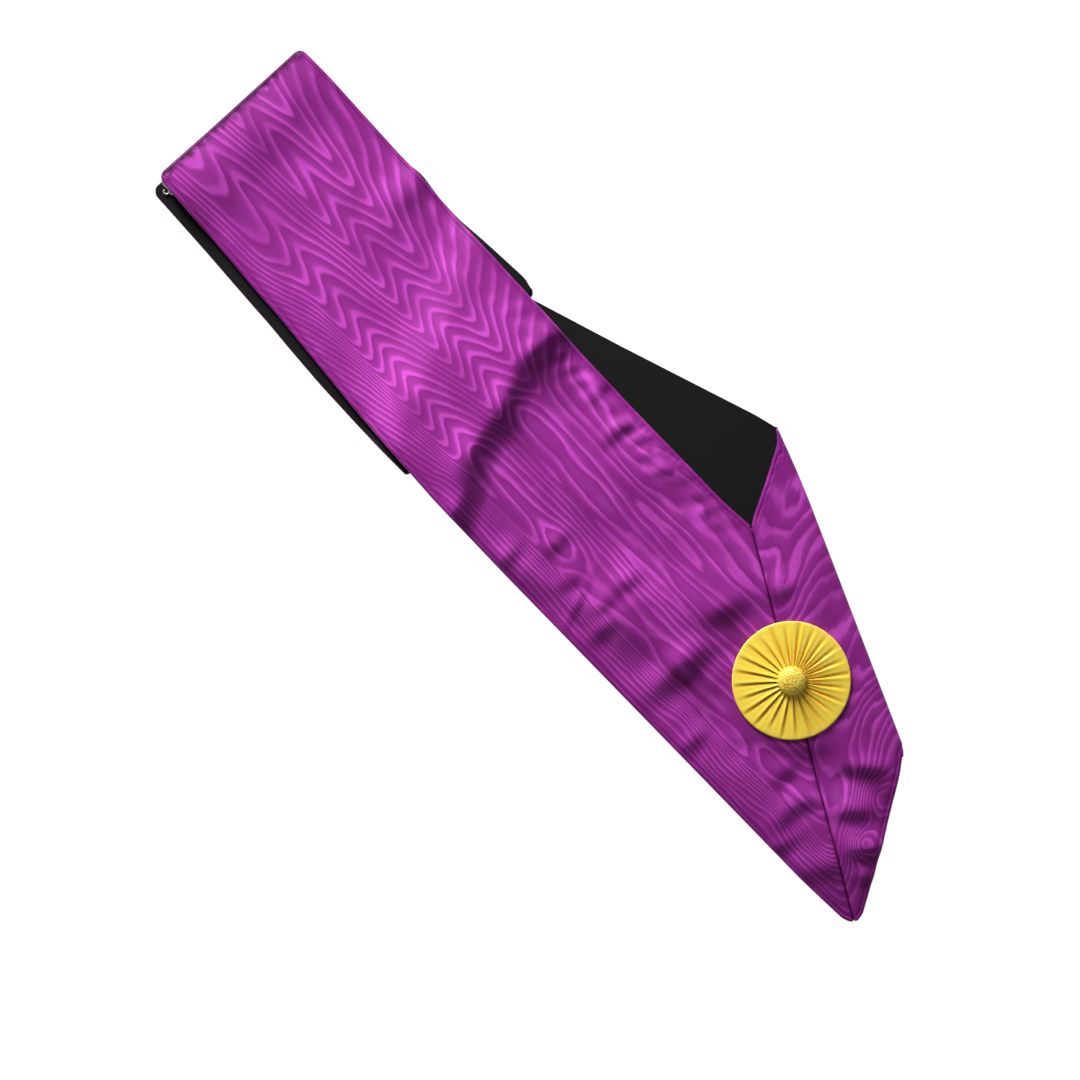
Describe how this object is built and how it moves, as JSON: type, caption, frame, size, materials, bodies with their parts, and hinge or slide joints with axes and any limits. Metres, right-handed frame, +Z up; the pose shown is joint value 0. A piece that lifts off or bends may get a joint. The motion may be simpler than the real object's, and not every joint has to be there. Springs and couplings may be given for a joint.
{
  "type": "masonic collar",
  "caption": "Purple moire ribbon collar with black lining and a gold pleated rosette, lying folded flat with its nape ends hooked together.",
  "frame": {"origin": "on the surface the collar lies on, under the middle of its bounding box", "axes": "+Y along the long strap from the V towards the nape, +X across that strap to its neck side, +Z up"},
  "size_m": [0.1468, 0.4996, 0.0137],
  "materials": {
    "purple_moire": "watered silk like ribbon with a woven rib",
    "black_lining": "matt woven lining",
    "gold_satin": "satin ribbon, soft sheen",
    "gold_cloth": "metal thread cloth, glittering",
    "nickel_wire": "bright plated wire"
  },
  "bodies": {
    "root": {"left_strap_face": "purple_moire", "left_strap_lining": "black_lining", "right_strap_face": "purple_moire", "right_strap_lining": "black_lining", "rosette_pleats": "gold_satin", "rosette_button": "gold_cloth", "nape_hook": "nickel_wire", "nape_eye": "nickel_wire"}
  },
  "joints": []
}
